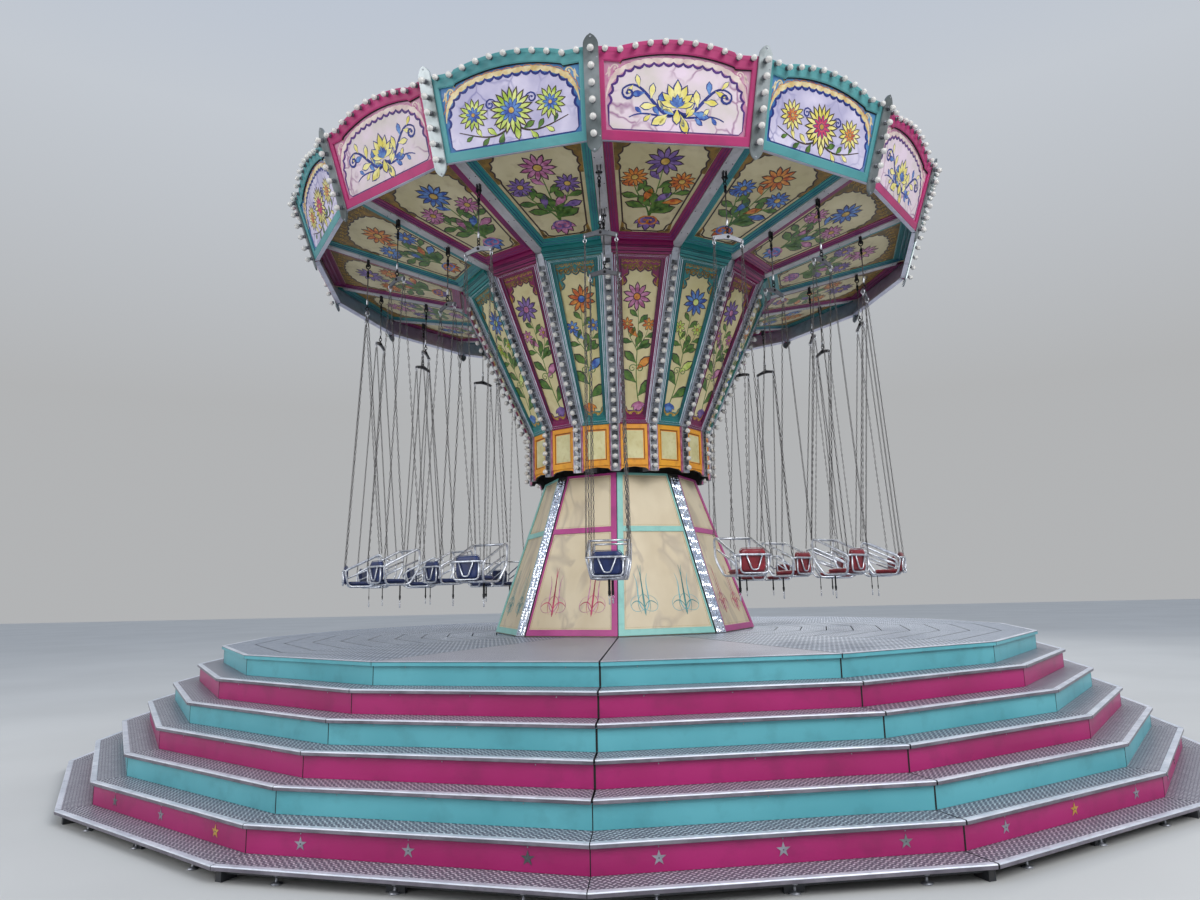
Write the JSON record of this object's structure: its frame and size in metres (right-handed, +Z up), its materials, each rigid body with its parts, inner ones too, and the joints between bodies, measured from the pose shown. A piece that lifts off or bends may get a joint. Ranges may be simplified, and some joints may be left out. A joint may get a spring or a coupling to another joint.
{
  "type": "chair swing ride",
  "caption": "Fairground chair swing ride: stepped round podium, tapered tower, turning head with lamp-edged crown, and hanging chain seats that swing out together",
  "frame": {"origin": "on the ground under the tower's vertical axis, at the middle of the footprint", "axes": "+Z up, the front corner of every ring faces -Y"},
  "size_m": [12, 12, 6.5197],
  "materials": {
    "frame_paint": "dark grey painted steel",
    "tread_plate": "worn chequered aluminium",
    "riser_pink": "glossy pink enamel",
    "riser_teal": "glossy teal enamel",
    "tower_board": "cream boards with pink or teal borders",
    "tower_metal": "patterned mirror metal corner strips",
    "beam_paint": "grey painted steel",
    "collar_board": "amber boards with cream insets",
    "funnel_board": "cream boards with teal or pink mouldings",
    "rail_metal": "silver lamp rails",
    "ceiling_board": "cream boards with teal or pink borders",
    "crown_board": "pale boards with teal or pink frames",
    "seat_blue": "dark blue vinyl pads on galvanised tube",
    "seat_red": "dark red vinyl pads on galvanised tube"
  },
  "bodies": {
    "podium": {"base_frame": "frame_paint", "tread_1": "tread_plate", "riser_1": "riser_pink", "tread_2": "tread_plate", "riser_2": "riser_teal", "tread_3": "tread_plate", "riser_3": "riser_pink", "tread_4": "tread_plate", "riser_4": "riser_teal", "tread_5": "tread_plate", "riser_5": "riser_pink", "tread_6": "tread_plate", "riser_6": "riser_teal", "deck_plates": "tread_plate", "tower_panel_1": "tower_board", "tower_panel_2": "tower_board", "tower_panel_3": "tower_board", "tower_panel_4": "tower_board", "tower_panel_5": "tower_board", "tower_panel_6": "tower_board", "tower_panel_7": "tower_board", "tower_panel_8": "tower_board", "tower_frame": "tower_metal"},
    "head": {"head_frame": "beam_paint", "collar_panels": "collar_board", "funnel_panels": "funnel_board", "lamp_rails": "rail_metal", "ceiling_panels": "ceiling_board", "crown_panels": "crown_board"},
    "seat_outer_1_body": {"seat_outer_1": "seat_blue"},
    "seat_inner_1_body": {"seat_inner_1": "seat_blue"},
    "seat_outer_2_body": {"seat_outer_2": "seat_red"},
    "seat_outer_3_body": {"seat_outer_3": "seat_red"},
    "seat_inner_2_body": {"seat_inner_2": "seat_red"},
    "seat_outer_4_body": {"seat_outer_4": "seat_red"},
    "seat_outer_5_body": {"seat_outer_5": "seat_red"},
    "seat_inner_3_body": {"seat_inner_3": "seat_red"},
    "seat_outer_6_body": {"seat_outer_6": "seat_red"},
    "seat_outer_7_body": {"seat_outer_7": "seat_red"},
    "seat_inner_4_body": {"seat_inner_4": "seat_red"},
    "seat_outer_8_body": {"seat_outer_8": "seat_red"},
    "seat_outer_9_body": {"seat_outer_9": "seat_blue"},
    "seat_inner_5_body": {"seat_inner_5": "seat_blue"},
    "seat_outer_10_body": {"seat_outer_10": "seat_blue"},
    "seat_outer_11_body": {"seat_outer_11": "seat_blue"},
    "seat_inner_6_body": {"seat_inner_6": "seat_blue"},
    "seat_outer_12_body": {"seat_outer_12": "seat_blue"},
    "seat_outer_13_body": {"seat_outer_13": "seat_blue"},
    "seat_inner_7_body": {"seat_inner_7": "seat_blue"},
    "seat_outer_14_body": {"seat_outer_14": "seat_blue"},
    "seat_outer_15_body": {"seat_outer_15": "seat_blue"},
    "seat_inner_8_body": {"seat_inner_8": "seat_blue"},
    "seat_outer_16_body": {"seat_outer_16": "seat_blue"}
  },
  "joints": [
    {"name": "head_spin", "type": "hinge", "parent": "podium", "child": "head", "pos_m": [0, 0, 3.3], "axis": [0, 0, 1], "continuous": true},
    {"name": "swing_outer_1", "type": "hinge", "parent": "head", "child": "seat_outer_1_body", "pos_m": [0, -3.22, 5.68294], "axis": [-1, 0, 0], "range_deg": [-10, 50]},
    {"name": "swing_inner_1", "type": "hinge", "parent": "head", "child": "seat_inner_1_body", "pos_m": [0, -2.59, 5.53489], "axis": [-1, 0, 0], "range_deg": [-10, 50]},
    {"name": "swing_outer_2", "type": "hinge", "parent": "head", "child": "seat_outer_2_body", "pos_m": [1.23224, -2.97489, 5.68294], "axis": [-0.9239, -0.3827, 0], "range_deg": [-10, 50]},
    {"name": "swing_outer_3", "type": "hinge", "parent": "head", "child": "seat_outer_3_body", "pos_m": [2.27688, -2.27688, 5.68294], "axis": [-0.7071, -0.7071, 0], "range_deg": [-10, 50]},
    {"name": "swing_inner_2", "type": "hinge", "parent": "head", "child": "seat_inner_2_body", "pos_m": [1.83141, -1.83141, 5.53489], "axis": [-0.7071, -0.7071, 0], "range_deg": [-10, 50]},
    {"name": "swing_outer_4", "type": "hinge", "parent": "head", "child": "seat_outer_4_body", "pos_m": [2.97489, -1.23224, 5.68294], "axis": [-0.3827, -0.9239, 0], "range_deg": [-10, 50]},
    {"name": "swing_outer_5", "type": "hinge", "parent": "head", "child": "seat_outer_5_body", "pos_m": [3.22, 0, 5.68294], "axis": [0, -1, 0], "range_deg": [-10, 50]},
    {"name": "swing_inner_3", "type": "hinge", "parent": "head", "child": "seat_inner_3_body", "pos_m": [2.59, 0, 5.53489], "axis": [0, -1, 0], "range_deg": [-10, 50]},
    {"name": "swing_outer_6", "type": "hinge", "parent": "head", "child": "seat_outer_6_body", "pos_m": [2.97489, 1.23224, 5.68294], "axis": [0.3827, -0.9239, 0], "range_deg": [-10, 50]},
    {"name": "swing_outer_7", "type": "hinge", "parent": "head", "child": "seat_outer_7_body", "pos_m": [2.27688, 2.27688, 5.68294], "axis": [0.7071, -0.7071, 0], "range_deg": [-10, 50]},
    {"name": "swing_inner_4", "type": "hinge", "parent": "head", "child": "seat_inner_4_body", "pos_m": [1.83141, 1.83141, 5.53489], "axis": [0.7071, -0.7071, 0], "range_deg": [-10, 50]},
    {"name": "swing_outer_8", "type": "hinge", "parent": "head", "child": "seat_outer_8_body", "pos_m": [1.23224, 2.97489, 5.68294], "axis": [0.9239, -0.3827, 0], "range_deg": [-10, 50]},
    {"name": "swing_outer_9", "type": "hinge", "parent": "head", "child": "seat_outer_9_body", "pos_m": [0, 3.22, 5.68294], "axis": [1, 0, 0], "range_deg": [-10, 50]},
    {"name": "swing_inner_5", "type": "hinge", "parent": "head", "child": "seat_inner_5_body", "pos_m": [0, 2.59, 5.53489], "axis": [1, 0, 0], "range_deg": [-10, 50]},
    {"name": "swing_outer_10", "type": "hinge", "parent": "head", "child": "seat_outer_10_body", "pos_m": [-1.23224, 2.97489, 5.68294], "axis": [0.9239, 0.3827, 0], "range_deg": [-10, 50]},
    {"name": "swing_outer_11", "type": "hinge", "parent": "head", "child": "seat_outer_11_body", "pos_m": [-2.27688, 2.27688, 5.68294], "axis": [0.7071, 0.7071, 0], "range_deg": [-10, 50]},
    {"name": "swing_inner_6", "type": "hinge", "parent": "head", "child": "seat_inner_6_body", "pos_m": [-1.83141, 1.83141, 5.53489], "axis": [0.7071, 0.7071, 0], "range_deg": [-10, 50]},
    {"name": "swing_outer_12", "type": "hinge", "parent": "head", "child": "seat_outer_12_body", "pos_m": [-2.97489, 1.23224, 5.68294], "axis": [0.3827, 0.9239, 0], "range_deg": [-10, 50]},
    {"name": "swing_outer_13", "type": "hinge", "parent": "head", "child": "seat_outer_13_body", "pos_m": [-3.22, 0, 5.68294], "axis": [0, 1, 0], "range_deg": [-10, 50]},
    {"name": "swing_inner_7", "type": "hinge", "parent": "head", "child": "seat_inner_7_body", "pos_m": [-2.59, 0, 5.53489], "axis": [0, 1, 0], "range_deg": [-10, 50]},
    {"name": "swing_outer_14", "type": "hinge", "parent": "head", "child": "seat_outer_14_body", "pos_m": [-2.97489, -1.23224, 5.68294], "axis": [-0.3827, 0.9239, 0], "range_deg": [-10, 50]},
    {"name": "swing_outer_15", "type": "hinge", "parent": "head", "child": "seat_outer_15_body", "pos_m": [-2.27688, -2.27688, 5.68294], "axis": [-0.7071, 0.7071, 0], "range_deg": [-10, 50]},
    {"name": "swing_inner_8", "type": "hinge", "parent": "head", "child": "seat_inner_8_body", "pos_m": [-1.83141, -1.83141, 5.53489], "axis": [-0.7071, 0.7071, 0], "range_deg": [-10, 50]},
    {"name": "swing_outer_16", "type": "hinge", "parent": "head", "child": "seat_outer_16_body", "pos_m": [-1.23224, -2.97489, 5.68294], "axis": [-0.9239, 0.3827, 0], "range_deg": [-10, 50]}
  ],
  "couplings": [
    {"joint": "swing_inner_1", "follows": "swing_outer_1", "ratio": 1},
    {"joint": "swing_outer_2", "follows": "swing_outer_1", "ratio": 1},
    {"joint": "swing_outer_3", "follows": "swing_outer_1", "ratio": 1},
    {"joint": "swing_inner_2", "follows": "swing_outer_1", "ratio": 1},
    {"joint": "swing_outer_4", "follows": "swing_outer_1", "ratio": 1},
    {"joint": "swing_outer_5", "follows": "swing_outer_1", "ratio": 1},
    {"joint": "swing_inner_3", "follows": "swing_outer_1", "ratio": 1},
    {"joint": "swing_outer_6", "follows": "swing_outer_1", "ratio": 1},
    {"joint": "swing_outer_7", "follows": "swing_outer_1", "ratio": 1},
    {"joint": "swing_inner_4", "follows": "swing_outer_1", "ratio": 1},
    {"joint": "swing_outer_8", "follows": "swing_outer_1", "ratio": 1},
    {"joint": "swing_outer_9", "follows": "swing_outer_1", "ratio": 1},
    {"joint": "swing_inner_5", "follows": "swing_outer_1", "ratio": 1},
    {"joint": "swing_outer_10", "follows": "swing_outer_1", "ratio": 1},
    {"joint": "swing_outer_11", "follows": "swing_outer_1", "ratio": 1},
    {"joint": "swing_inner_6", "follows": "swing_outer_1", "ratio": 1},
    {"joint": "swing_outer_12", "follows": "swing_outer_1", "ratio": 1},
    {"joint": "swing_outer_13", "follows": "swing_outer_1", "ratio": 1},
    {"joint": "swing_inner_7", "follows": "swing_outer_1", "ratio": 1},
    {"joint": "swing_outer_14", "follows": "swing_outer_1", "ratio": 1},
    {"joint": "swing_outer_15", "follows": "swing_outer_1", "ratio": 1},
    {"joint": "swing_inner_8", "follows": "swing_outer_1", "ratio": 1},
    {"joint": "swing_outer_16", "follows": "swing_outer_1", "ratio": 1}
  ]
}
